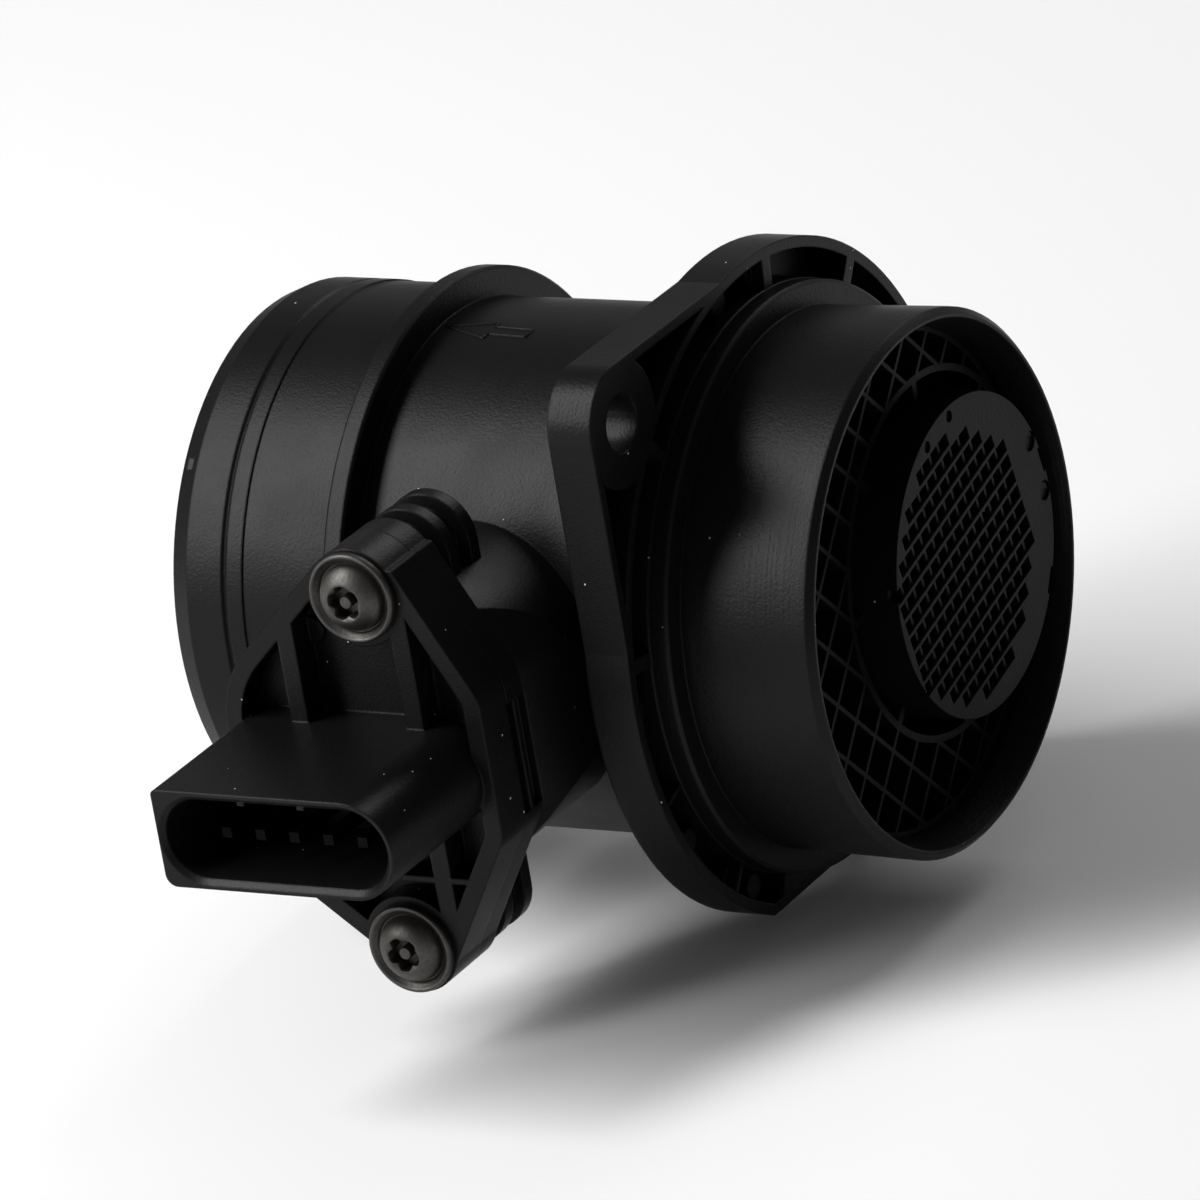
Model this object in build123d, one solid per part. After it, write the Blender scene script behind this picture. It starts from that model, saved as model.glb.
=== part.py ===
from build123d import *
import os
from math import cos, radians, sin

# Mass airflow sensor: a moulded plastic tube with a bolt flange, a two-stage flow
# straightener in its inlet and a plug-in probe held by two tamper-proof screws.
# Millimetres. X is the bore axis and +X looks out of the inlet, so air flows along -X.
# The probe's electrical socket faces -Y, and +Z is up.
# The origin is on the bore axis, at the front face of the bolt flange.

# ---- Tube ------------------------------------------------------------------
wall = 3.0                 # wall of the measuring section
body_r = 34.5              # outside of the measuring section
spigot_rise = 1.4          # outlet spigot, where the hose sits, over the measuring section
band_rise = 0.2            # hose band at the outlet end, over the spigot
ring_rise = 2.6            # ring that the hose stops at, over the spigot
collar_rise = 3.8          # collar inside the flange, over the measuring section
inlet_rise = 0.5           # root of the inlet spigot, over the measuring section
bead_rise = 0.4            # inlet spigot near its mouth, over its root
mouth_wall = 1.3           # wall at the inlet mouth
insert_wall = 2.1          # wall round the flow straightener
collar_len = 2.7           # collar in front of the flange
flange_t = 6.2
body_len = 39.2            # flange to hose stop
ring_w = 2.9
spigot_len = 24.9          # hose stop to outlet end
inlet_len = 19.0           # collar to inlet mouth
bead_back = 1.6            # bead to inlet mouth
bell_len = 4.5             # taper inside the mouth
insert_len = 5.9           # parallel bore behind the taper
band_len = 8.4             # hose band, from the outlet end to its groove
groove_w = 0.9
groove_depth = 0.35
step_len = 2.8             # groove to the fine step of the hose band
rim_taper_len = 2.7        # lead-in taper outside the outlet rim
rim_taper = 1.1
lip_bevel = 0.85           # outside of the inlet's lip
edge_bevel = 0.35
rim_notch_angle = 40.8     # small notch in the outlet rim, degrees above the plug side
rim_notch_w = 1.7
rim_notch_len = 1.8
rim_notch_drop = 0.8       # floor of the notch under the hose band

# ---- Flange ----------------------------------------------------------------
ring_gap = 4.0             # collar to the flange's rim
bolt_offset = 35.5         # each bolt hole from the axis, along Y and along Z
bolt_hole_r = 3.75
ear_edge = 7.7             # bolt hole to the ear's straight edges
flat_cut = 4.4             # flat along the bottom, in from the round rim
flat_end = 19.0            # where the flat meets the lower ear
core_depth = 5.0           # depth of the recesses in the front face
collar_land = 0.12         # narrow land of the front face round the collar
rim_wall = 1.5
ear_wall = 1.4
ear_rib = 1.2              # rib between the ring recess and an ear's pockets
ear_boss_r = 8.3           # solid round a bolt hole
solid_from = 247.0         # lower ear's solid part of the ring, degrees from +Y
solid_to = 350.0
webs = [(10, 2.0), (53.5, 2.0), (84, 2.0), (134.5, 1.3), (173, 1.9), (200.5, 0.6), (230, 0.6)]
post_angles = [85, 98, 153, 183, 214, 231, 240]
post_r = 1.7
post_drop = 1.8            # ejector posts below the front face

# ---- Probe seat ------------------------------------------------------------
screw_back = 29.15         # flange face to the middle of the probe
upper_lean = 0.45          # each screw and its lug stand this far forward of the probe's middle
lower_lean = -0.25
probe_z = -3.86            # midway between the screws
screw_pitch = 48.22
seat_rise = 17.5           # measuring section to the joint between probe and pad
plate_t = 6.2              # probe flange
pad_t = 4.0
lug_r = 6.3                # rounded ends round the screws
wing_right = 15.9          # screw line to the pad's straight right edge
wing_left = 22.4
wing_right_top = 10.7      # ends of the straight edges, above and below the pad's middle
wing_right_low = 8.4
wing_left_top = 10.9
wing_left_low = 11.6
wing_round = 5.0
wing_left_round = 15.0     # softer bend of the upper left edge
shoulders = {              # where the slanted edges leave the lugs, from each screw
    "upper right": (6.4, 3.6), "upper left": (-4.3, 4.4),
    "lower right": (5.1, -3.0), "lower left": (-4.4, -1.5),
}
core_r = 20.0              # round neck between tube and pad
core_z = -1.6
core_taper = 14.0
rib_gap = 3.0              # slots between the ribs under each lug
rib_t = 2.0
upper_rib_r = 6.2
lower_rib_r = 5.8
post_core_r = 4.3          # screw post behind a lug
pilot_r = 2.35
pilot_room = 2.0           # free depth under a screw's tip
plug_r = 14.2
plug_clearance = 0.2
notch_top = 7.5            # side notch of the pad, above and below the probe's centre
notch_low = 7.4
notch_depth = 1.2
notch_w = 1.5
notch_gap = 0.6            # thin rib between the two side notches
notch_back_w = 2.2

# ---- Probe -----------------------------------------------------------------
plate_rim = 2.4            # rim round the flange's recesses
recess_depth = 4.2
screw_boss_r = 6.95
rib_w = 2.5
rib_left = 11.15           # centre of the left ribs, from the screw line
rib_right = 5.9
brace_z = -18.4            # thin rib beside the lower screw boss
brace_t = 0.8
ejector_r = 1.7
ejector_rise = 0.6
ejectors = [(-9.35, 13.5), (-8.6, -22.0)]   # from the screw line, and above the bore axis
socket_back = 32.1         # flange face to the middle contact
socket_z = -4.3
socket_len = 34.8          # electrical socket, outside
socket_h = 13.2
socket_wall = 1.2
socket_reach = 22.3        # flange face to the socket's mouth
socket_depth = 18.0
socket_corner = 1.6        # lower left corner
socket_edge = 0.8          # upper left corner
socket_thin = 0.35         # the square end's wall is this much thinner
socket_lead = 0.7          # bevel inside the socket's mouth
key_places = [-4.3, 4.5]   # two key ribs on the socket's ceiling, from the middle contact
key_w = 1.0
key_t = 0.5
contact_count = 5
contact_pitch = 5.0
contact_w = 1.4
contact_drop = 0.9         # contacts below the middle of the socket
contact_back = 4.8         # contact tips behind the mouth
inner_pitch = 3.0
jog_rise = 0.4             # seat to the place where the contacts draw together
jog_stagger = 2.2          # the outer contacts on the wide side draw in further down
plug_len = 11.0            # seat to the inner end of the plug
seal_drop = 6.8            # seat to the middle of the seal groove
seal_w = 2.6
seal_groove_w = 2.9
seal_depth = 1.6
fin_len = 22.0             # along the air flow
fin_t = 9.0
fin_reach = 20.0           # fin tip past the bore axis
fin_wall = 1.4
floor_t = 1.2
cover_t = 1.2
cover_gap = 0.1
bay_split = -9.0           # wall between the electronics bay and the air channel
contact_tail = 15.5        # seat to the inner ends of the contacts

# ---- Inside the probe ------------------------------------------------------
carrier_w = 14.0
carrier_t = 1.0
tongue_w = 6.0
tongue_end = 3.0
board_w = 12.0
board_len = 22.0
board_t = 0.8
board_start = -34.5
control_chip_size = 5.0
control_chip_t = 1.0
flow_chip_w = 3.6
flow_chip_t = 0.5
slot_clearance = 0.1
divider_y = 4.5
divider_t = 1.2
divider_len = 11.0
inlet_slot = 8.0
outlet_slot = 6.0
bead_r = 1.2
leg_r = 0.25
leg_len = 3.4
leg_gap = 1.1
leg_seat = 0.8
leg_y = -3.0

# ---- Screws ----------------------------------------------------------------
washer_r = 6.0
washer_t = 1.0
head_r = 4.5
head_t = 1.8
head_bevel = 0.9
shank_r = 2.3
shank_len = 17.0
hole_clearance = 0.4
recess_r = 1.55
lobe_r = 0.55
lobe_place = 1.75
lobe_count = 5
tamper_r = 0.8
drive_depth = 1.3

# ---- Flow straightener -----------------------------------------------------
grid_inset = 5.9           # inlet mouth to the coarse grid
grid_depth = 4.3
frame_wall = 0.7
fit = 0.05
coarse_pitch = 5.406
coarse_bar = 0.6
coarse_angle = 45.5
coarse_y = 1.53            # where two bars cross
coarse_z = -0.16
hub_side = 2.3             # the hub's cap to the edge of the straightener's bore
hub_rim = 3.4              # cap's edge to the outside of the hub
hub_wall = 1.0
hub_webs = 8
hub_web_t = 1.1
disc_r = 21.1
disc_inset = 0.7           # inlet mouth to the fine mesh
disc_t = 1.4
disc_wall = 1.2
dimple_depth = 0.4
dimples = [(94, 0.8), (113.5, 0.8), (25.5, 1.35), (2.5, 1.35)]   # angle from +Y and radius
dimple_edge = 1.3          # middle of a dimple to the cap's edge
clip_notches = [(14.0, 3.6), (-31.7, 3.6)]   # angle from +Y and length along the edge
clip_notch_depth = 0.6
mesh_rim = 3.35            # cells with their middle further in from the cap's edge are open
mesh_shift = 2.75          # middle of the mesh from the middle of the cap
mesh_z = -0.45
fine_pitch = 2.433
fine_bar = 0.5
fine_angle = 13.75
fine_first = 13.86         # one bar of the leading family, from the axis
fine_cross = 1.34          # one bar of the crossing family, from the axis
fine_step = 0.35           # the crossing bars stand this far behind the leading ones

# ---- Places worked out from the sizes --------------------------------------
bore_r = body_r - wall
spigot_r = body_r + spigot_rise
band_r = spigot_r + band_rise
ring_r = spigot_r + ring_rise
collar_r = body_r + collar_rise
inlet_root_r = body_r + inlet_rise
inlet_bead_r = inlet_root_r + bead_rise
mouth_r = inlet_bead_r - mouth_wall
insert_r = inlet_root_r - insert_wall
flange_r = collar_r + ring_gap + rim_wall
flat_drop = flange_r - flat_cut
hub_y = insert_r - disc_r - hub_side
hub_r = disc_r + hub_rim
mesh_r = disc_r - mesh_rim
mesh_y = hub_y - mesh_shift
collar_x = collar_len
mouth_x = collar_x + inlet_len
flange_back = -flange_t
ring_front = flange_back - body_len
ring_back = ring_front - ring_w
outlet_end = ring_back - spigot_len
groove_x = outlet_end + band_len
step_x = groove_x + step_len
seat_x = mouth_x - bell_len - insert_len
grid_front = mouth_x - grid_inset
disc_front = mouth_x - disc_inset
screw_x = -screw_back
socket_x = -socket_back
ear_reach = bolt_offset + ear_edge
groove_r = flange_r - rim_wall
parting_out = body_r + seat_rise
plate_out = parting_out + plate_t
pad_back = parting_out - pad_t
plug_end_out = parting_out - plug_len
seal_out = parting_out - seal_drop
jog_out = parting_out + jog_rise
contact_end_out = parting_out - contact_tail
mouth_out = plate_out + socket_reach
upper_z = probe_z + screw_pitch / 2
lower_z = probe_z - screw_pitch / 2
upper_screw = (screw_x + upper_lean, upper_z)
lower_screw = (screw_x + lower_lean, lower_z)
hole_r = plug_r + plug_clearance
pilot_depth = shank_len - plate_t + pilot_room
probe_front = screw_x + fin_len / 2
probe_back = screw_x - fin_len / 2
tray_low = probe_z - fin_t / 2
tray_top = probe_z + fin_t / 2 - cover_t
tray_floor = tray_low + floor_t


def across(x):
    """Plane across the bore at x, with Y to the right and Z up."""
    return Plane.YZ.offset(x)


def facing(out):
    """Plane that faces the plug side, at a distance out from the bore axis, with X and Z."""
    return Plane.XZ.offset(out)


def box(x0, x1, y0, y1, z0, z1):
    """Box between two corners."""
    return Pos((x0 + x1) / 2, (y0 + y1) / 2, (z0 + z1) / 2) * Box(abs(x1 - x0), abs(y1 - y0), abs(z1 - z0))


def slab(low, high, left, right):
    """Flat rectangle between two corners of a sketch plane."""
    return Pos((left + right) / 2, (low + high) / 2) * Rectangle(right - left, high - low)


def at_corners(face, corners):
    """Corners of a sketch that lie at the given points."""
    return [v for v in face.vertices() if any((Vector(v) - Vector(*c)).length < 0.01 for c in corners)]


def rounded(face, corners, radius):
    """Rounds the corners of a sketch that lie at the given points."""
    return fillet(at_corners(face, corners), radius)


def bevelled(face, corners, size):
    """Bevels the corners of a sketch that lie at the given points."""
    return chamfer(at_corners(face, corners), size)


def polar(angle, radius):
    """Point at an angle in degrees and a distance from the centre."""
    return (radius * cos(radians(angle)), radius * sin(radians(angle)))


# ---- Tube housing ----------------------------------------------------------
def tube_blank():
    """Outside of the tube, turned about the bore axis and still solid."""
    bead_x = mouth_x - bead_back
    outline = [
        (outlet_end, 0), (outlet_end, band_r - rim_taper), (outlet_end + rim_taper_len, band_r),
        (groove_x - groove_w / 2, band_r), (groove_x, band_r - groove_depth),
        (groove_x + groove_w / 2, band_r), (step_x, band_r),
        (step_x, spigot_r), (ring_back, spigot_r),
        (ring_back, ring_r), (ring_front, ring_r),
        (ring_front, body_r), (0, body_r), (0, collar_r),
        (collar_x, collar_r), (collar_x, inlet_root_r),
        (bead_x, inlet_bead_r), (mouth_x, inlet_bead_r), (mouth_x, 0),
    ]
    section = make_face(Polyline(*outline, close=True))
    section = bevelled(section, [(ring_back, ring_r), (ring_front, ring_r), (collar_x, collar_r)], edge_bevel)
    section = bevelled(section, [(mouth_x, inlet_bead_r)], lip_bevel)
    return revolve(section, Axis.X)


def tube_bore():
    """Air passage, with the flared mouth and the seat of the flow straightener."""
    outline = [
        (outlet_end, 0), (outlet_end, bore_r), (seat_x, bore_r), (seat_x, insert_r),
        (mouth_x - bell_len, insert_r), (mouth_x, mouth_r), (mouth_x, 0),
    ]
    return revolve(make_face(Polyline(*outline, close=True)), Axis.X)


def rim_notch():
    """Small square notch in the outside of the outlet rim."""
    low = band_r - rim_notch_drop
    cut = box(outlet_end, outlet_end + rim_notch_len, -low - wall, -low, -rim_notch_w / 2, rim_notch_w / 2)
    return Rot(-rim_notch_angle, 0, 0) * cut


def ear_square(inset):
    """Square corner of an ear, drawn in from its edges by an inset."""
    reach = ear_reach - inset
    square = slab(0, reach, -reach, 0)
    return rounded(square, [(-reach, reach)], ear_edge - inset)


def both_ears(shape):
    """A sketch and its copy turned half round, for the upper and the lower ear."""
    return shape + Rot(0, 0, 180) * shape


def flange_outline():
    """Round flange with two opposite bolt ears and a flat along the bottom."""
    outline = Circle(flange_r) + both_ears(ear_square(0))
    return outline - slab(-2 * ear_reach, -flat_drop, -2 * ear_reach, flat_end)


def ring_recess():
    """Ring between collar and rim, broken by the lower ear's solid part and by the webs."""
    far = 2 * flange_r
    middle = (solid_from + solid_to) / 2
    corners = [(0, 0)] + [polar(a, far) for a in (solid_from, middle, solid_to)]
    recess = Circle(groove_r) - Circle(collar_r + collar_land)
    recess -= make_face(Polyline(*corners, close=True))
    recess -= slab(-far, rim_wall - flat_drop, -far, far)
    for angle, width in webs:
        recess -= Rot(0, 0, angle) * Pos(far / 2, 0) * Rectangle(far, width)
    return recess


def ear_pockets():
    """Two pockets beside the upper bolt hole."""
    hole = Pos(-bolt_offset, bolt_offset)
    return ear_square(ear_wall) - Circle(groove_r + ear_rib) - hole * Circle(ear_boss_r)


def flange():
    """Bolt flange, cored out from its front face."""
    plate = extrude(across(flange_back) * flange_outline(), flange_t)
    recess = ring_recess() + ear_pockets()
    plate -= extrude(across(0) * recess, -core_depth)
    middle_r = (groove_r + collar_r + collar_land) / 2
    for angle in post_angles:
        foot = across(-core_depth) * Pos(*polar(angle, middle_r))
        plate += extrude(foot * Circle(post_r), core_depth - post_drop)
    hole = Pos(-bolt_offset, bolt_offset) * Circle(bolt_hole_r)
    plate -= extrude(across(flange_back) * both_ears(hole), flange_t)
    return plate


def shoulder(name):
    """Point where a slanted edge of the pad leaves its lug."""
    across_x, up_z = shoulders[name]
    lug_z = upper_z if name.startswith("upper") else lower_z
    return (screw_x + across_x, lug_z + up_z)


def plate_outline():
    """Outline shared by the probe's flange and the pad that it sits on."""
    left = screw_x - wing_left
    right = screw_x + wing_right
    upper_left = (left, probe_z + wing_left_top)
    lower_left = (left, probe_z - wing_left_low)
    upper_right = (right, probe_z + wing_right_top)
    lower_right = (right, probe_z - wing_right_low)
    corners = [
        shoulder("upper right"), upper_right, lower_right, shoulder("lower right"),
        shoulder("lower left"), lower_left, upper_left, shoulder("upper left"),
    ]
    wings = make_face(Polyline(*corners, close=True))
    wings = rounded(wings, [upper_right, lower_right, lower_left], wing_round)
    wings = rounded(wings, [upper_left], wing_left_round)
    for place in (upper_screw, lower_screw):
        wings += Pos(*place) * Circle(lug_r)
    return wings


def lug_rib(place, radius):
    """Outline of one rib under a lug, from the neck out round the screw post."""
    x, z = place
    tongue = slab(min(z, core_z), max(z, core_z), x - radius, x + radius)
    return tongue + Pos(x, z) * Circle(radius)


def probe_seat():
    """Pad, round neck and ribbed lugs that carry the probe."""
    seat = extrude(facing(pad_back) * plate_outline(), pad_t)
    neck_len = pad_back - bore_r / 2
    neck = extrude(facing(pad_back) * plate_outline(), -neck_len, taper=-core_taper)
    neck &= extrude(facing(pad_back) * Pos(screw_x, core_z) * Circle(core_r), -neck_len)
    neck -= box(ring_back - core_r, ring_back, -pad_back, 0, core_z - core_r, core_z + core_r)
    seat += neck
    for place, radius in ((upper_screw, upper_rib_r), (lower_screw, lower_rib_r)):
        back = pad_back
        for _ in range(2):
            back -= rib_gap + rib_t
            seat += extrude(facing(back) * lug_rib(place, radius), rib_t)
        seat += extrude(facing(back) * Pos(*place) * Circle(post_core_r), pad_back - back)
    return seat


def side_notches():
    """Two shallow notches in the pad's straight side, with a thin rib between them."""
    edge = screw_x + wing_right
    low = probe_z - notch_low
    top = probe_z + notch_top
    front = -parting_out + notch_w
    middle = front + notch_gap
    cut = box(edge - notch_depth, edge + notch_depth, -parting_out, front, low, top)
    return cut + box(edge - notch_depth, edge + notch_depth, middle, middle + notch_back_w, low, top)


def tube_housing():
    """The whole moulded tube with flange and probe seat."""
    body = tube_blank() + flange() + probe_seat()
    body -= tube_bore()
    body -= extrude(facing(parting_out) * Pos(screw_x, probe_z) * Circle(hole_r), -parting_out)
    for place in (upper_screw, lower_screw):
        pilot = facing(parting_out) * Pos(*place) * Circle(pilot_r)
        body -= extrude(pilot, -pilot_depth)
    return body - side_notches() - rim_notch()


# ---- Probe -----------------------------------------------------------------
def socket_outline():
    """Outside of the electrical socket: square on the left, round on the right."""
    half = socket_h / 2
    left = socket_x - socket_len / 2 + socket_thin
    right = socket_x + socket_len / 2
    shell = slab(socket_z - half, socket_z + half, left, right - half)
    shell = rounded(shell, [(left, socket_z - half)], socket_corner)
    shell = rounded(shell, [(left, socket_z + half)], socket_edge)
    return shell + Pos(right - half, socket_z) * Circle(half)


def socket_cavity(wider):
    """Opening that the cable's plug goes into, or its mouth, wider all round."""
    inset = 2 * (socket_wall - wider)
    return Pos(socket_x, socket_z) * SlotOverall(socket_len - inset, socket_h - inset)


def plate_recesses():
    """Recesses that thin out the probe's flange, between its ribs."""
    outline = plate_outline()
    inner = offset(outline, -plate_rim)
    for place in (upper_screw, lower_screw):
        inner -= Pos(*place) * Circle(screw_boss_r)
    for x in (screw_x - rib_left, screw_x + rib_right):
        inner -= Pos(x, probe_z) * Rectangle(rib_w, 2 * screw_pitch)
    inner -= slab(brace_z - brace_t / 2, brace_z + brace_t / 2, screw_x, screw_x + wing_right)
    return inner - socket_outline()


def ejector_pads():
    """Low round pads on the floors of the recesses."""
    floor = facing(plate_out - recess_depth)
    return [extrude(floor * Pos(screw_x + x, z) * Circle(ejector_r), ejector_rise) for x, z in ejectors]


def socket_keys():
    """Two low ribs along the socket's ceiling."""
    ceiling = socket_z + socket_h / 2 - socket_wall
    start = -mouth_out + socket_lead
    return [box(socket_x + x - key_w / 2, socket_x + x + key_w / 2, start, -mouth_out + socket_depth,
                ceiling - key_t, ceiling + socket_wall / 2) for x in key_places]


def contact(index):
    """One contact: a blade in the socket, a jog and a tail in the electronics bay."""
    step = index - (contact_count - 1) / 2
    half = contact_w / 2
    low = socket_z - contact_drop - half
    high = low + contact_w
    x0 = socket_x + step * contact_pitch
    x1 = screw_x + step * inner_pitch
    tip = -(mouth_out - contact_back)
    bend = -jog_out + max(0, -step) * jog_stagger
    blade = box(x0 - half, x0 + half, tip, bend + half, low, high)
    jog = box(min(x0, x1) - half, max(x0, x1) + half, bend - half, bend + half, low, high)
    tail = box(x1 - half, x1 + half, bend - half, -contact_end_out, low, high)
    return blade + jog + tail


def fin_tray():
    """Fin that stands in the air stream: an open tray with two bays."""
    start = -plug_end_out
    tray = box(probe_back, probe_front, start, fin_reach, tray_low, tray_top)
    inner_back = probe_back + fin_wall
    inner_front = probe_front - fin_wall
    tray -= box(inner_back, inner_front, start + fin_wall, bay_split, tray_floor, tray_top)
    channel = bay_split + fin_wall
    tray -= box(inner_back, inner_front, channel, fin_reach - fin_wall, tray_floor, tray_top)
    tray += box(inner_front - divider_len, inner_front, divider_y - divider_t, divider_y, tray_low, tray_top)
    entry = divider_y + fin_wall
    tray -= box(inner_front, probe_front, entry, entry + inlet_slot, tray_floor, tray_top)
    tray -= box(inner_front - outlet_slot, inner_front, channel, channel + outlet_slot, tray_low, tray_floor)
    half = tongue_w / 2 + slot_clearance
    slot_top = tray_floor + carrier_t + slot_clearance
    tray -= box(screw_x - half, screw_x + half, bay_split, channel, tray_floor, slot_top)
    return tray


def sensor_body():
    """Moulded probe body: flange, socket, plug and fin."""
    body = extrude(facing(parting_out) * plate_outline(), plate_t)
    body -= extrude(facing(plate_out) * plate_recesses(), -recess_depth)
    body += extrude(facing(plate_out - recess_depth) * socket_outline(), recess_depth + socket_reach)
    body -= extrude(facing(mouth_out) * socket_cavity(0), -socket_depth)
    body -= extrude(facing(mouth_out) * socket_cavity(socket_lead), -socket_lead, taper=45)
    plug = Pos(screw_x, probe_z)
    body += extrude(facing(plug_end_out) * plug * Circle(plug_r), parting_out - plug_end_out)
    groove = Circle(plug_r) - Circle(plug_r - seal_depth)
    body -= extrude(facing(seal_out - seal_groove_w / 2) * plug * groove, seal_groove_w)
    body += fin_tray()
    for detail in ejector_pads() + socket_keys():
        body += detail
    for place in (upper_screw, lower_screw):
        hole = facing(parting_out) * Pos(*place) * Circle(shank_r + hole_clearance)
        body -= extrude(hole, plate_t)
    for index in range(contact_count):
        body -= contact(index)
    for place in leg_places():
        body -= leg(place)
    return body


def cover(y0, y1):
    """Flat cover on the open side of the fin, between two places along it."""
    return box(probe_back, probe_front, y0, y1, tray_top, tray_top + cover_t)


def base_plate():
    """Metal carrier under the electronics, with a tongue into the air channel."""
    start = -plug_end_out + 2 * fin_wall
    half = carrier_w / 2
    plate = box(screw_x - half, screw_x + half, start, bay_split - slot_clearance, tray_floor, tray_floor + carrier_t)
    half = tongue_w / 2
    return plate + box(screw_x - half, screw_x + half, start, tongue_end, tray_floor, tray_floor + carrier_t)


def on_carrier(width, y0, y1, low, high):
    """Flat block above the carrier, centred on the screw line."""
    base = tray_floor + carrier_t
    return box(screw_x - width / 2, screw_x + width / 2, y0, y1, base + low, base + high)


def leg_places():
    """Heights of the two legs of the air temperature sensor."""
    return [probe_z - leg_gap / 2, probe_z + leg_gap / 2]


def leg(z):
    """One leg of the air temperature sensor, seated in the fin's front wall."""
    foot = Plane((probe_front - leg_seat, leg_y, z), x_dir=(0, 1, 0), z_dir=(1, 0, 0))
    return extrude(foot * Circle(leg_r), leg_seat + leg_len)


def temperature_bead():
    """Glass bead at the end of the two legs."""
    bead = Pos(probe_front + leg_len, leg_y, probe_z) * Sphere(bead_r)
    for place in leg_places():
        bead -= leg(place)
    return bead


def seal():
    """Sealing ring, pressed flat between its groove and the hole in the seat."""
    ring = Circle(hole_r) - Circle(plug_r - seal_depth)
    return extrude(facing(seal_out - seal_w / 2) * Pos(screw_x, probe_z) * ring, seal_w)


def screw(x, z):
    """Tamper-proof screw: pan head on a washer face, five-lobed recess with a centre pin."""
    half = [
        (0, -shank_len), (shank_r, -shank_len), (shank_r, 0), (washer_r, 0),
        (washer_r, washer_t), (head_r, washer_t), (head_r, washer_t + head_t), (0, washer_t + head_t),
    ]
    section = make_face(Polyline(*half, close=True))
    section = bevelled(section, [(head_r, washer_t + head_t)], head_bevel)
    section = bevelled(section, [(washer_r, washer_t)], washer_t / 3)
    turned = revolve(section, Axis.Y)
    drive = Circle(recess_r) - Circle(tamper_r)
    for index in range(lobe_count):
        drive += Pos(*polar(90 + index * 360 / lobe_count, lobe_place)) * Circle(lobe_r)
    turned -= extrude(Plane.XZ.offset(-(washer_t + head_t)) * drive, drive_depth)
    return Pos(x, -plate_out, z) * Rot(180, 0, 0) * turned


# ---- Flow straightener -----------------------------------------------------
def bars(angle, first, pitch, width, reach):
    """Parallel bars at an angle, one of them at a distance first from the centre."""
    family = Sketch()
    count = int(reach / pitch) + 2
    for index in range(-count, count + 1):
        place = first + index * pitch
        if abs(place) < reach:
            family += Rot(0, 0, angle) * Pos(0, place) * Rectangle(2 * reach, width)
    return family


def coarse_grid():
    """Outer straightener: a diamond lattice round a hub ring with inward webs."""
    outer = insert_r - fit
    back = grid_front - grid_depth
    lattice = Sketch()
    for angle in (coarse_angle, coarse_angle + 90):
        first = coarse_z * cos(radians(angle)) - coarse_y * sin(radians(angle))
        lattice += bars(angle, first, coarse_pitch, coarse_bar, outer)
    hub = Pos(hub_y, 0)
    sheet = (lattice & Circle(outer)) + ((hub * Circle(hub_r)) & Circle(outer))
    sheet -= hub * Circle(hub_r - hub_wall)
    sheet += Circle(outer) - Circle(outer - frame_wall)
    spokes = Sketch()
    for index in range(hub_webs):
        spokes += Rot(0, 0, index * 360 / hub_webs) * Pos(hub_r / 2, 0) * Rectangle(hub_r, hub_web_t)
    spokes = spokes & Circle(hub_r - hub_wall / 2)
    spokes -= Circle(disc_r + fit)
    sheet += (hub * spokes) & Circle(outer)
    return extrude(across(back) * sheet, grid_depth)


def mesh_cells():
    """Rows of cell centres of the fine mesh that lie inside its round field."""
    turn = Rot(0, 0, fine_angle)
    span = int(2 * mesh_r / fine_pitch)
    rows = []
    for row in range(-span, span + 1):
        v = fine_first + (row + 0.5) * fine_pitch
        cells = []
        for column in range(-span, span + 1):
            u = fine_cross + (column + 0.5) * fine_pitch
            centre = turn * Pos(u, v)
            reach = (centre.position - Vector(mesh_y, mesh_z)).length
            if reach < mesh_r:
                cells.append(centre)
        if cells:
            rows.append(cells)
    return rows


def fine_grid_disc():
    """Cap in front of the hub: a skirt and a front wall with the fine mesh."""
    hub = Pos(hub_y, 0)
    back = grid_front - grid_depth
    cap = extrude(across(back) * hub * Circle(disc_r), disc_front - back)
    cap -= extrude(across(back) * hub * Circle(disc_r - disc_wall), disc_front - disc_t - back)
    hole = fine_pitch - fine_bar
    rows = mesh_cells()
    holes = Sketch() + [cell * Rectangle(hole, hole) for row in rows for cell in row]
    steps = Sketch()
    for row in rows:
        length = (len(row) - 1) * fine_pitch + hole
        middle = (row[0].position + row[-1].position) / 2
        steps += Pos(middle) * Rot(0, 0, fine_angle) * Rectangle(length, hole)
    cap -= extrude(across(disc_front) * steps, -fine_step)
    cap -= extrude(across(disc_front - fine_step) * holes, fine_step - disc_t)
    for angle, radius in dimples:
        place = Pos(*polar(angle, disc_r - dimple_edge))
        cap -= extrude(across(disc_front) * hub * place * Circle(radius), -dimple_depth)
    for angle, length in clip_notches:
        notch = Rot(0, 0, angle) * Pos(disc_r, 0) * Rectangle(2 * clip_notch_depth, length)
        cap -= extrude(across(disc_front) * hub * notch, -disc_t)
    return cap


def save(node, shape):
    """Writes one sub-part."""
    shape.label = node
    export_step(shape, f"parts/{node}.step")


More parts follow.
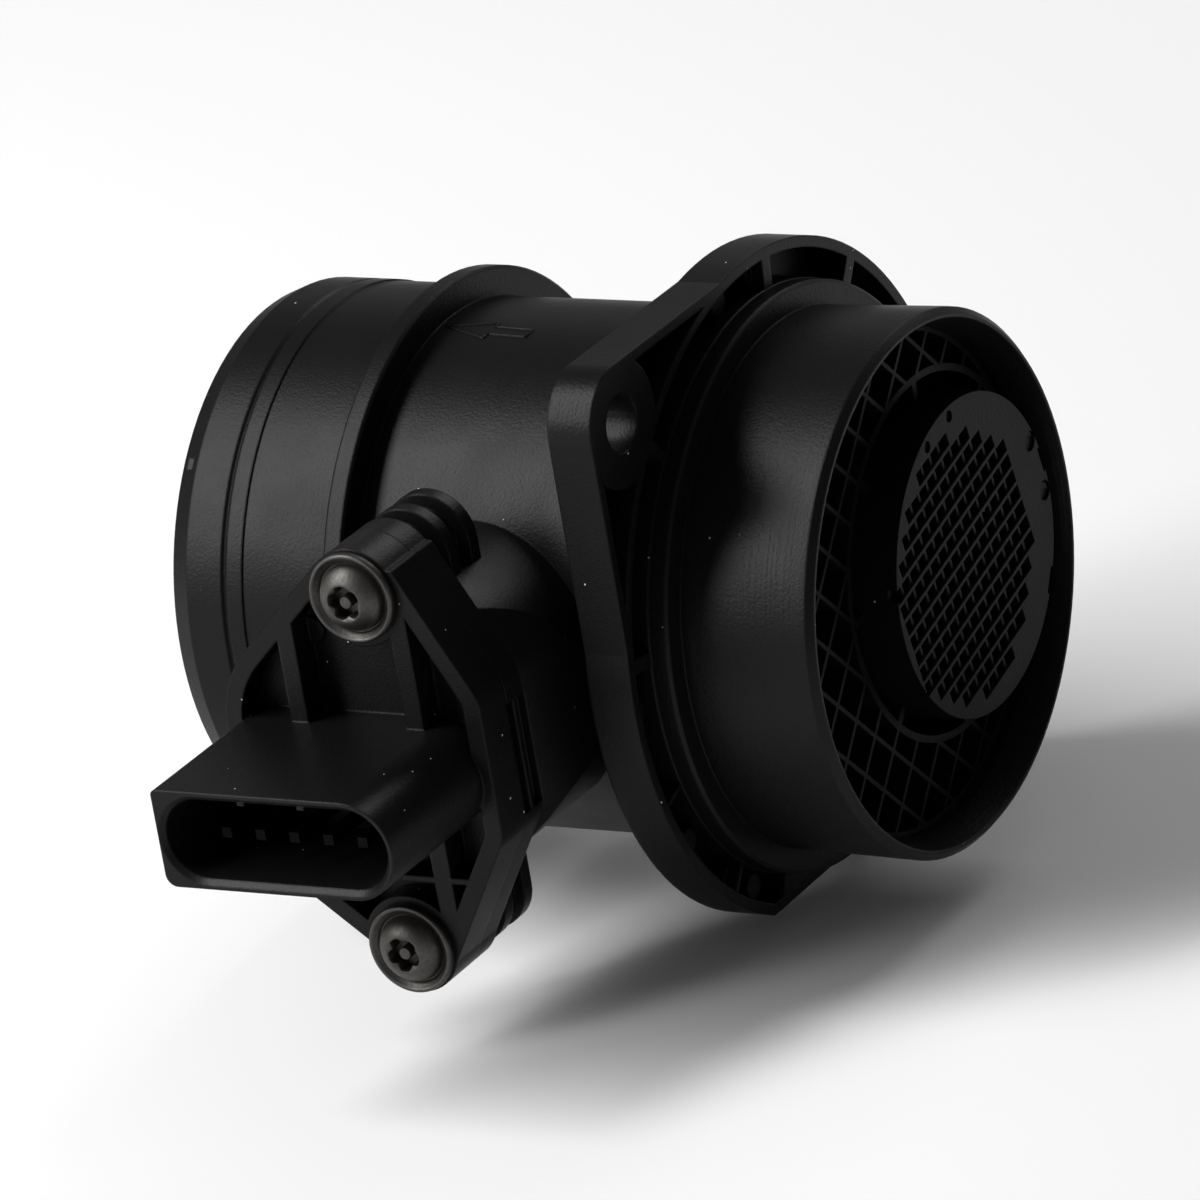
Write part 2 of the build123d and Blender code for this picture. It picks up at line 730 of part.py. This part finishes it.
os.makedirs("parts", exist_ok=True)
save("tube_housing", tube_housing())
save("coarse_grid", coarse_grid())
save("fine_grid_disc", fine_grid_disc())
save("sensor_body", sensor_body())
save("electronics_cover", cover(-plug_end_out + cover_gap, bay_split + fin_wall / 2 - cover_gap / 2))
save("bypass_cover", cover(bay_split + fin_wall / 2 + cover_gap / 2, fin_reach))
save("base_plate", base_plate())
save("hybrid_board", on_carrier(board_w, board_start, board_start + board_len, 0, board_t))
chip_start = board_start + board_len / 2
save("control_chip", on_carrier(control_chip_size, chip_start, chip_start + control_chip_size,
                                board_t, board_t + control_chip_t))
save("flow_chip", on_carrier(flow_chip_w, tongue_end - flow_chip_w, tongue_end, 0, flow_chip_t))
save("temperature_bead", temperature_bead())
for number, place in enumerate(leg_places(), start=1):
    save(f"temperature_leg_{number}", leg(place))
save("sensor_seal", seal())
save("sensor_screws", Compound(children=[screw(*upper_screw), screw(*lower_screw)]))
for index in range(contact_count):
    save(f"contact_pin_{index + 1}", contact(index))
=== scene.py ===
"""Looks of a mass airflow sensor: moulded black tube, bolt flange, flow straightener and plug-in probe."""
import math

import bmesh
import bpy
from mathutils import Matrix, Quaternion, Vector


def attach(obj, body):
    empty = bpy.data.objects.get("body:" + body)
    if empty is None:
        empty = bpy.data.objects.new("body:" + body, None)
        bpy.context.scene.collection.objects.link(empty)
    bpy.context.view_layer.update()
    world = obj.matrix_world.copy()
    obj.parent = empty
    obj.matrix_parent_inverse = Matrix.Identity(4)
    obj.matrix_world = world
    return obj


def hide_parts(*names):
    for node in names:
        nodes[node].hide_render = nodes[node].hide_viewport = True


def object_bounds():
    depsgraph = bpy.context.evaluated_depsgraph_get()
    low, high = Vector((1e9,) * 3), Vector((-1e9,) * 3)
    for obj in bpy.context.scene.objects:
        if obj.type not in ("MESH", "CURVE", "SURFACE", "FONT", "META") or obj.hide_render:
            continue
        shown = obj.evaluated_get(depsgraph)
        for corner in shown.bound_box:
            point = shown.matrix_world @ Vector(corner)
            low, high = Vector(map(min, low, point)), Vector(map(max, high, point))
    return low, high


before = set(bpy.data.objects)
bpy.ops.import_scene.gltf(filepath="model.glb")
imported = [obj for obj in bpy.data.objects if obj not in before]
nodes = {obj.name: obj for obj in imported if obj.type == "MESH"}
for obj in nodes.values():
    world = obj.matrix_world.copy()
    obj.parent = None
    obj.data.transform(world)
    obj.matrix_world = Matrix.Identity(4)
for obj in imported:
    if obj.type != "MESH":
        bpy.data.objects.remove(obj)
cad_low, cad_high = [list(corner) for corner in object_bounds()]

MM = 0.001


# ---- Camera ------------------------------------------------------------------
CAMERA_PLACE = Vector((0.6002, -0.9692, 0.4404))
CAMERA_AIM = Vector((-0.0211, -0.0148, 0.0017))
CAMERA_ROLL = math.radians(-9.8)
LENS_MM = 285.0
SENSOR_MM = 36.0


def look_from(place, aim, roll):
    """Matrix of something at place that looks at aim, turned about its own view line."""
    turn = (aim - place).to_track_quat("-Z", "Y") @ Quaternion((0, 0, 1), roll)
    return Matrix.LocRotScale(place, turn, None)


def make_camera():
    """A long lens from over a metre away, which keeps both ends of the tube nearly the same size."""
    data = bpy.data.cameras.new("camera")
    data.lens = LENS_MM
    data.sensor_width = SENSOR_MM
    data.clip_start, data.clip_end = 0.05, 20
    camera = bpy.data.objects.new("camera", data)
    camera.matrix_world = look_from(CAMERA_PLACE, CAMERA_AIM, CAMERA_ROLL)
    bpy.context.scene.collection.objects.link(camera)
    bpy.context.scene.camera = camera


# ---- Colours and nodes -------------------------------------------------------
def srgb(code):
    """Linear colour, opaque, from an sRGB hex code."""
    parts = [int(code[i:i + 2], 16) / 255 for i in (0, 2, 4)]
    linear = [c / 12.92 if c <= 0.04045 else ((c + 0.055) / 1.055) ** 2.4 for c in parts]
    return (*linear, 1.0)


def dimmed(code, share):
    """Linear colour with only a share of its light."""
    return (*(part * share for part in srgb(code)[:3]), 1.0)


def add_node(tree, kind, values=None, **settings):
    """Adds a node. Settings are its properties; values go to its sockets, as numbers or as links."""
    made = tree.nodes.new(kind)
    for name, value in settings.items():
        setattr(made, name, value)
    for socket, value in (values or {}).items():
        if isinstance(value, bpy.types.NodeSocket):
            tree.links.new(value, made.inputs[socket])
        else:
            made.inputs[socket].default_value = value
    return made


def repeats(size_mm):
    """Texture scale at which one cell of a pattern is this many millimetres."""
    return 1000.0 / size_mm


def new_material(name):
    """A material with an empty tree and a shader wired to its output."""
    material = bpy.data.materials.new(name)
    material.use_nodes = True
    tree = material.node_tree
    tree.nodes.clear()
    shader = add_node(tree, "ShaderNodeBsdfPrincipled")
    add_node(tree, "ShaderNodeOutputMaterial", {"Surface": shader.outputs["BSDF"]})
    return material, tree, shader


def object_place(tree):
    """The point on the object, in metres."""
    return add_node(tree, "ShaderNodeTexCoord").outputs["Object"]


# ---- Materials ---------------------------------------------------------------
DUST_COLOUR = "b8b8b2"
DUST_SPACING = 2.2         # mm between places where a speck may lie
DUST_RADIUS = 0.16         # mm, the largest speck
CLOUD_WIDTH = 7            # mm, slow change of gloss over a moulding
RING_PITCH = 0.5           # mm, turning marks of the mould's core
RING_STRETCH = 0.02        # share of the noise's change that is left across the bore
RINGS_OUTSIDE = 0.08       # share of the turning marks that is left away from the inlet
INLET_START, INLET_FULL = 8, 14        # mm along the bore, where the turning marks come in


def moulded_nylon(name, colour, roughness, specular, grain=0.42, grain_depth=0.09, streaks=0.0, dust=0.4,
                  edge_round=0.42):
    """Glass-filled nylon, moulded: near-black, a fine spark-eroded grain, soft broad highlights.

    The grain of such a mould is under 0.1 mm; it is drawn at about 0.4 mm, as coarse as it needs to show.
    Streaks are the faint rings that the core leaves round the inlet; dust is the share of places with a
    pale speck; edge_round softens the moulded corners, which are never knife sharp. Sizes in mm.
    """
    material, tree, shader = new_material(name)
    place = object_place(tree)
    mottle = add_node(tree, "ShaderNodeTexNoise", {
        "Vector": place, "Scale": repeats(CLOUD_WIDTH), "Detail": 3.0})
    fine = add_node(tree, "ShaderNodeTexNoise", {
        "Vector": place, "Scale": repeats(grain), "Detail": 2.0, "Roughness": 0.6})
    rough = add_node(tree, "ShaderNodeMapRange", {
        "Value": mottle.outputs["Fac"], "From Min": 0.3, "From Max": 0.7,
        "To Min": roughness - 0.02, "To Max": roughness + 0.03})
    shader.inputs["Specular IOR Level"].default_value = specular
    shader.inputs["IOR"].default_value = 1.5

    specks = add_node(tree, "ShaderNodeTexVoronoi", {"Vector": place, "Scale": repeats(DUST_SPACING)})
    chance = add_node(tree, "ShaderNodeSeparateColor", {"Color": specks.outputs["Color"]})
    reach = add_node(tree, "ShaderNodeMapRange", {
        "Value": chance.outputs["Red"], "From Min": 1 - dust, "From Max": 1.0,
        "To Min": 0.0, "To Max": DUST_RADIUS / DUST_SPACING})
    speck = add_node(tree, "ShaderNodeMath", {
        0: specks.outputs["Distance"], 1: reach.outputs["Result"]}, operation="LESS_THAN")
    shown = add_node(tree, "ShaderNodeMix", {
        "Factor": speck.outputs["Value"], 6: srgb(colour), 7: srgb(DUST_COLOUR)}, data_type="RGBA")
    tree.links.new(shown.outputs[2], shader.inputs["Base Color"])
    tree.links.new(rough.outputs["Result"], shader.inputs["Roughness"])

    edge = add_node(tree, "ShaderNodeBevel", {"Radius": edge_round * MM}, samples=4)
    height = fine.outputs["Fac"]
    if streaks:
        stretched = add_node(tree, "ShaderNodeMapping", {
            "Vector": place, "Scale": (1, RING_STRETCH, RING_STRETCH)})
        rings = add_node(tree, "ShaderNodeTexNoise", {
            "Vector": stretched.outputs["Vector"], "Scale": repeats(RING_PITCH), "Detail": 3.0})
        along = add_node(tree, "ShaderNodeSeparateXYZ", {"Vector": place})
        inlet = add_node(tree, "ShaderNodeMapRange", {
            "Value": along.outputs["X"], "From Min": INLET_START * MM, "From Max": INLET_FULL * MM,
            "To Min": RINGS_OUTSIDE, "To Max": 1.0})
        depth = add_node(tree, "ShaderNodeMath", {
            0: inlet.outputs["Result"], 1: streaks}, operation="MULTIPLY")
        height = add_node(tree, "ShaderNodeMath", {
            0: rings.outputs["Fac"], 1: depth.outputs["Value"], 2: height},
            operation="MULTIPLY_ADD").outputs["Value"]
    bump = add_node(tree, "ShaderNodeBump", {
        "Strength": 0.5, "Distance": grain_depth * MM, "Height": height, "Normal": edge.outputs["Normal"]})
    tree.links.new(bump.outputs["Normal"], shader.inputs["Normal"])
    return material


def metal(name, colour, roughness, grain, depth):
    """Bare or plated metal: its own colour in every reflection, mottled and roughened by a fine grain.

    Grain and depth are in mm; both are drawn coarser than a plated skin's, so that they show.
    """
    material, tree, shader = new_material(name)
    place = object_place(tree)
    fine = add_node(tree, "ShaderNodeTexNoise", {
        "Vector": place, "Scale": repeats(grain), "Detail": 4.0, "Roughness": 0.65})
    tint = add_node(tree, "ShaderNodeMix", {
        "Factor": fine.outputs["Fac"], 6: srgb(colour), 7: dimmed(colour, 0.4)}, data_type="RGBA")
    rough = add_node(tree, "ShaderNodeMapRange", {
        "Value": fine.outputs["Fac"], "To Min": roughness - 0.08, "To Max": roughness + 0.12})
    bump = add_node(tree, "ShaderNodeBump", {
        "Strength": 0.5, "Distance": depth * MM, "Height": fine.outputs["Fac"]})
    shader.inputs["Metallic"].default_value = 1.0
    tree.links.new(tint.outputs[2], shader.inputs["Base Color"])
    tree.links.new(rough.outputs["Result"], shader.inputs["Roughness"])
    tree.links.new(bump.outputs["Normal"], shader.inputs["Normal"])
    return material


def smooth_solid(name, colour, roughness, grain, coat=0.0):
    """Glass, ceramic, rubber or a chip's package: one colour, clouded a little by its grain."""
    material, tree, shader = new_material(name)
    place = object_place(tree)
    cloud = add_node(tree, "ShaderNodeTexNoise", {"Vector": place, "Scale": repeats(grain), "Detail": 3.0})
    tint = add_node(tree, "ShaderNodeMix", {
        "Factor": cloud.outputs["Fac"], 6: srgb(colour), 7: dimmed(colour, 0.8)}, data_type="RGBA")
    rough = add_node(tree, "ShaderNodeMapRange", {
        "Value": cloud.outputs["Fac"], "To Min": roughness - 0.05, "To Max": roughness + 0.05})
    shader.inputs["Coat Weight"].default_value = coat
    tree.links.new(tint.outputs[2], shader.inputs["Base Color"])
    tree.links.new(rough.outputs["Result"], shader.inputs["Roughness"])
    return material


def dress(names, material):
    """Gives CAD nodes their material."""
    for name in names:
        mesh = nodes[name].data
        mesh.materials.clear()
        mesh.materials.append(material)


# ---- Pieces ------------------------------------------------------------------
MERGE_WITHIN = 0.002                   # mm
SHARP_FROM = math.radians(40)          # a steeper edge than this isn't shaded smooth


def new_piece(name, vertices, faces):
    """A mesh object from points in metres."""
    mesh = bpy.data.meshes.new(name)
    mesh.from_pydata(vertices, [], faces)
    mesh.validate()
    piece = bpy.data.objects.new(name, mesh)
    bpy.context.scene.collection.objects.link(piece)
    return piece


def face_outwards(piece):
    """Merges doubled points and turns every face outwards."""
    work = bmesh.new()
    work.from_mesh(piece.data)
    bmesh.ops.remove_doubles(work, verts=work.verts, dist=MERGE_WITHIN * MM)
    bmesh.ops.recalc_face_normals(work, faces=work.faces)
    work.to_mesh(piece.data)
    work.free()


SCREW_STEPS = 100          # points round one screw
SCREW_LOBES = 5
RECESS_WIDE = 2.32         # mm, out to the middle of a lobe
RECESS_FLOOR = 0.7         # mm above the seat
RECESS_DRAFT = 0.05        # mm, how much narrower the recess is at its floor
RECESS_NARROW = 1.78       # mm, out to the pads between the lobes
LOBE_BREADTH = 1.5         # a plain wave at 1; more cuts its crest off flat
LOBE_FULLNESS = 0.7        # a plain wave at 1; less makes its flanks steeper
SHANK_END = (1.9, -17.4)   # radius and height above the seat, mm, as in the profiles below
WASHER_PROFILE = [
    (2.3, -17.0), (2.3, 0.0), (5.95, 0.0), (6.0, 0.06), (6.0, 0.95), (5.93, 1.12), (5.8, 1.23),
    (5.62, 1.26), (5.46, 1.2), (5.32, 1.06), (5.02, 0.8), (4.82, 0.66), (4.68, 0.46), (4.52, 0.42),
]
DOME_PROFILE = [
    (4.46, 0.62), (4.4, 0.95), (4.29, 1.28), (4.1, 1.62), (3.82, 1.95), (3.45, 2.26),
    (3.05, 2.5), (2.7, 2.66), (2.5, 2.73), (2.38, 2.74),
]
RIM_RADIUS, RIM_HEIGHT = 2.35, 2.74    # mm, where the recess cuts the top of the dome
RIM_SLOPE = 0.42           # fall of the recess's rim towards the middle
RIM_ROUND = 0.08           # mm, how far down the rim's corner is broken
RIM_SPREAD = 0.03          # mm, how far to either side of the recess's edge it is broken
PIN_PROFILE = [(0.86, RECESS_FLOOR), (0.84, 2.2), (0.76, 2.32), (0.4, 2.34)]


def recess_reach(angle):
    """Distance from the middle to the edge of the recess, whose lobes are broad and flat at their ends."""
    wave = 0.5 + 0.5 * math.cos(SCREW_LOBES * angle)
    lobe = min(1.0, LOBE_BREADTH * wave) ** LOBE_FULLNESS
    return RECESS_NARROW + (RECESS_WIDE - RECESS_NARROW) * lobe


def one_screw():
    """A tamper-proof screw: cupped washer face, button head, lobed recess with a centre pin.

    Its rings of points run from the shank's end up over washer and dome, down the recess and up the pin.
    """
    rings = [[(r, h)] * SCREW_STEPS for r, h in [SHANK_END] + WASHER_PROFILE + DOME_PROFILE]
    turn = [2 * math.pi * step / SCREW_STEPS for step in range(SCREW_STEPS)]
    reach = [recess_reach(angle) for angle in turn]
    rims = [RIM_HEIGHT - RIM_SLOPE * (RIM_RADIUS - r) for r in reach]
    rings.append([(r + RIM_SPREAD, rim) for r, rim in zip(reach, rims)])
    rings.append([(r - RIM_SPREAD, rim - RIM_ROUND) for r, rim in zip(reach, rims)])
    rings.append([(r - RECESS_DRAFT, RECESS_FLOOR) for r in reach])
    rings += [[(r, h)] * SCREW_STEPS for r, h in PIN_PROFILE]
    points = [(r * math.cos(a) * MM, -h * MM, r * math.sin(a) * MM)
              for ring in rings for (r, h), a in zip(ring, turn)]
    faces = []
    for ring in range(len(rings) - 1):
        for step in range(SCREW_STEPS):
            after = (step + 1) % SCREW_STEPS
            low, high = ring * SCREW_STEPS, (ring + 1) * SCREW_STEPS
            faces.append((low + step, low + after, high + after, high + step))
    last = (len(rings) - 1) * SCREW_STEPS
    faces.append(tuple(range(last, last + SCREW_STEPS)))
    faces.append(tuple(reversed(range(SCREW_STEPS))))
    piece = new_piece("one_screw", points, faces)
    face_outwards(piece)
    piece.data.shade_smooth()
    piece.data.set_sharp_from_angle(angle=SHARP_FROM)
    return piece


UPPER_SEAT = (-28.70, 20.25)           # mm, along the bore and up
LOWER_SEAT = (-29.40, -27.97)
SEAT_PLANE = -58.2                     # mm, across the bore
FIRST_TURN = math.radians(45)          # how far the upper screw was driven round
TURN_STEP = math.radians(-24)          # from it to the lower one


def screw_pair(material):
    """Both screws of the probe, set on their seats by one tree."""
    tree = bpy.data.node_groups.new("screws_in_a_row", "GeometryNodeTree")
    kinds = {"Screw": "Object", "Finish": "Material", "Count": "Int", "First seat": "Vector",
             "Step": "Vector", "First turn": "Float", "Turn step": "Float"}
    for name, kind in kinds.items():
        tree.interface.new_socket(name, in_out="INPUT", socket_type="NodeSocket" + kind)
    tree.interface.new_socket("Geometry", in_out="OUTPUT", socket_type="NodeSocketGeometry")
    given = add_node(tree, "NodeGroupInput").outputs
    row = add_node(tree, "GeometryNodeMeshLine", {
        "Count": given["Count"], "Start Location": given["First seat"], "Offset": given["Step"]})
    index = add_node(tree, "GeometryNodeInputIndex")
    turn = add_node(tree, "ShaderNodeMath", {
        0: index.outputs["Index"], 1: given["Turn step"], 2: given["First turn"]},
        operation="MULTIPLY_ADD")
    spin = add_node(tree, "ShaderNodeCombineXYZ", {"Y": turn.outputs["Value"]})
    model = add_node(tree, "GeometryNodeObjectInfo", {"Object": given["Screw"]})
    placed = add_node(tree, "GeometryNodeInstanceOnPoints", {
        "Points": row.outputs["Mesh"], "Instance": model.outputs["Geometry"],
        "Rotation": spin.outputs["Vector"]})
    real = add_node(tree, "GeometryNodeRealizeInstances", {"Geometry": placed.outputs["Instances"]})
    finished = add_node(tree, "GeometryNodeSetMaterial", {
        "Geometry": real.outputs["Geometry"], "Material": given["Finish"]})
    add_node(tree, "NodeGroupOutput", {"Geometry": finished.outputs["Geometry"]})
    (upper_x, upper_z), (lower_x, lower_z) = UPPER_SEAT, LOWER_SEAT
    model_piece = one_screw()
    return grown("tamper_proof_screws", tree, {
        "Screw": model_piece, "Finish": material, "Count": 2,
        "First seat": (upper_x * MM, SEAT_PLANE * MM, upper_z * MM),
        "Step": ((lower_x - upper_x) * MM, 0, (lower_z - upper_z) * MM),
        "First turn": FIRST_TURN, "Turn step": TURN_STEP}, [model_piece])


def grown(name, tree, sizes, models):
    """Runs a tree on an empty mesh, keeps the result as a plain piece and drops the models it used."""
    seed = new_piece(name + "_seed", [(0, 0, 0)], [])
    modifier = seed.modifiers.new("grow", "NODES")
    modifier.node_group = tree
    for item in tree.interface.items_tree:
        if item.in_out == "INPUT":
            modifier[item.identifier] = sizes[item.name]
    deps = bpy.context.evaluated_depsgraph_get()
    mesh = bpy.data.meshes.new_from_object(seed.evaluated_get(deps))
    mesh.name = name
    piece = bpy.data.objects.new(name, mesh)
    bpy.context.scene.collection.objects.link(piece)
    for spare in [seed] + models:
        bpy.data.objects.remove(spare)
    return piece


ARROW_MIDDLE = (-37.2, -4.42)          # mm, middle of the barbs, along the bore and round the tube
ARROW_TILT = math.radians(-3.7)
ARROW_HEAD = (7.2, 2.05)               # mm, length and half width
ARROW_SHAFT = (5.9, 0.95)
ARROW_STEP = 0.4                       # mm between points of the line, so that it follows the tube
TUBE_R = 34.5                          # mm
RIDGE_R = 0.17                         # mm, half the width of the raised line


def flow_arrow(material):
    """Raised outline of an arrow on top of the tube, pointing the way the air flows."""
    head, barb = ARROW_HEAD
    shaft, half = ARROW_SHAFT
    outline = [(-head, 0), (0, barb), (0, half), (shaft, half), (shaft, -half), (0, -half), (0, -barb)]
    path = []
    for (x0, y0), (x1, y1) in zip(outline, outline[1:] + outline[:1]):
        steps = max(2, round(math.hypot(x1 - x0, y1 - y0) / ARROW_STEP))
        path += [(x0 + (x1 - x0) * i / steps, y0 + (y1 - y0) * i / steps) for i in range(steps)]
    curve = bpy.data.curves.new("flow_arrow_line", "CURVE")
    curve.dimensions = "3D"
    curve.bevel_depth = RIDGE_R * MM
    curve.bevel_resolution = 3
    line = curve.splines.new("POLY")
    line.points.add(len(path) - 1)
    line.use_cyclic_u = True
    for point, (x, y) in zip(line.points, path):
        along = ARROW_MIDDLE[0] + x * math.cos(ARROW_TILT) - y * math.sin(ARROW_TILT)
        arc = (ARROW_MIDDLE[1] + x * math.sin(ARROW_TILT) + y * math.cos(ARROW_TILT)) / TUBE_R
        point.co = (along * MM, TUBE_R * math.sin(arc) * MM, TUBE_R * math.cos(arc) * MM, 1)
    maker = bpy.data.objects.new("flow_arrow_line", curve)
    bpy.context.scene.collection.objects.link(maker)
    mesh = bpy.data.meshes.new_from_object(maker.evaluated_get(bpy.context.evaluated_depsgraph_get()))
    bpy.data.objects.remove(maker)
    mesh.name = "flow_arrow"
    mesh.materials.clear()
    mesh.materials.append(material)
    mesh.shade_smooth()
    piece = bpy.data.objects.new("flow_arrow", mesh)
    bpy.context.scene.collection.objects.link(piece)
    return piece


# ---- Floor and light ---------------------------------------------------------
FLOOR_REACH = 4.0          # metres, past every edge of the picture
SURROUND = 0.155           # strength of the even light from all round
LAMPS = [
    # name, direction to it, direction of its long side, then metres away, long and wide, then watts
    ("strip_left", (-0.585, -0.507, 0.633), (0.064, 0.682, 0.658), 1.3, 1.4, 0.35, 25),
    ("back_glow", (0.0, 0.9, 0.35), (1, 0, 0), 1.6, 2.6, 0.5, 0.8),
    ("back_top", (0.058, 0.782, 0.628), (1, 0, 0), 1.4, 0.7, 0.5, 3.5),
]


def make_floor():
    """Plain pale paper under the object's lowest point."""
    mesh = bpy.data.meshes.new("floor")
    corners = [(-FLOOR_REACH, -FLOOR_REACH), (FLOOR_REACH, -FLOOR_REACH),
               (FLOOR_REACH, FLOOR_REACH), (-FLOOR_REACH, FLOOR_REACH)]
    mesh.from_pydata([(x, y, cad_low[2]) for x, y in corners], [], [(0, 1, 2, 3)])
    floor = bpy.data.objects.new("floor", mesh)
    bpy.context.scene.collection.objects.link(floor)
    material, tree, shader = new_material("pale_paper")
    shader.inputs["Base Color"].default_value = srgb("fafafa")
    shader.inputs["Roughness"].default_value = 0.9
    shader.inputs["Specular IOR Level"].default_value = 0.1
    mesh.materials.append(material)


def softbox(name, direction, along, distance, length, width, watts):
    """A soft rectangular lamp aimed at the object, its long side lying along a direction."""
    data = bpy.data.lights.new(name, "AREA")
    data.shape = "RECTANGLE"
    data.size = length
    data.size_y = width
    data.energy = watts
    lamp = bpy.data.objects.new(name, data)
    back = Vector(direction).normalized()
    side = Vector(along)
    side = (side - side.dot(back) * back).normalized()
    up = back.cross(side)
    turn = Matrix((side, up, back)).transposed().to_4x4()
    lamp.matrix_world = Matrix.Translation(CAMERA_AIM + back * distance) @ turn
    bpy.context.scene.collection.objects.link(lamp)


def make_light():
    """Soft studio light: a strip over the left shoulder, two weak lamps behind, and an even surround."""
    for lamp in LAMPS:
        softbox(*lamp)
    world = bpy.data.worlds.new("studio")
    bpy.context.scene.world = world
    world.use_nodes = True
    world.node_tree.nodes.clear()
    plain = add_node(world.node_tree, "ShaderNodeBackground", {
        "Color": srgb("ffffff"), "Strength": SURROUND})
    add_node(world.node_tree, "ShaderNodeOutputWorld", {"Surface": plain.outputs["Background"]})
    bpy.context.scene.view_settings.view_transform = "Standard"


# ---- Build -------------------------------------------------------------------
make_camera()
make_floor()
make_light()

# Near-black moulding with a soft sheen; the inlet shows the core's rings and a little dust lies on it.
tube_nylon = moulded_nylon("moulded_nylon_tube", "0e0e0f", 0.39, 0.13, streaks=1.0, dust=0.2)
dress(["tube_housing"], tube_nylon)
# The probe is a shade glossier and dustier, with a finer grain.
dress(["sensor_body"], moulded_nylon("moulded_nylon_probe", "0f0f10", 0.36, 0.14, grain=0.38, dust=0.45))
# The grids are the darkest and dullest, with thin ribs whose edges are nearly sharp.
dress(["coarse_grid", "fine_grid_disc"], moulded_nylon(
    "moulded_nylon_grid", "0d0d0e", 0.38, 0.06, dust=0.05, edge_round=0.15))
# Hidden covers: the same nylon, plain.
dress(["electronics_cover", "bypass_cover"], moulded_nylon("moulded_nylon_cover", "121213", 0.4, 0.2))
# Dark grey-brown plating, uneven and half dull, the lightest thing in view.
steel = metal("blackened_zinc_on_steel", "5d5b58", 0.46, 0.45, 0.07)
dress(["sensor_screws"], steel)
# Tin-plated contact tips painted near black: painted shade from the dark inside of the socket, so they can
# only just be told from it.
dress([f"contact_pin_{i}" for i in range(1, 6)], metal("tin_on_brass_darkened_as_painted_shade", "181716", 0.55, 0.3, 0.004))
# Bright soft grey: the bead's legs shine, the rolled carrier has a broader gloss.
dress(["temperature_leg_1", "temperature_leg_2"], metal("tinned_wire", "b0b0ae", 0.3, 0.2, 0.003))
dress(["base_plate"], metal("rolled_aluminium", "c4c4c6", 0.35, 0.4, 0.004))
# Inside the probe: dull rubber, chalky ceramic, a black package, a glossy bluish die, a shiny red bead.
dress(["sensor_seal"], smooth_solid("black_rubber", "141414", 0.6, 1.5))
dress(["hybrid_board"], smooth_solid("white_alumina", "d8d6ce", 0.5, 2.0))
dress(["control_chip"], smooth_solid("black_epoxy", "161617", 0.45, 1.0))
dress(["flow_chip"], smooth_solid("silicon_die", "3a3a48", 0.15, 0.8))
dress(["temperature_bead"], smooth_solid("red_glass", "6a2016", 0.1, 0.6, coat=0.5))

screws = screw_pair(steel)
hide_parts("sensor_screws")
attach(screws, "root")
arrow = flow_arrow(tube_nylon)
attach(arrow, "root")
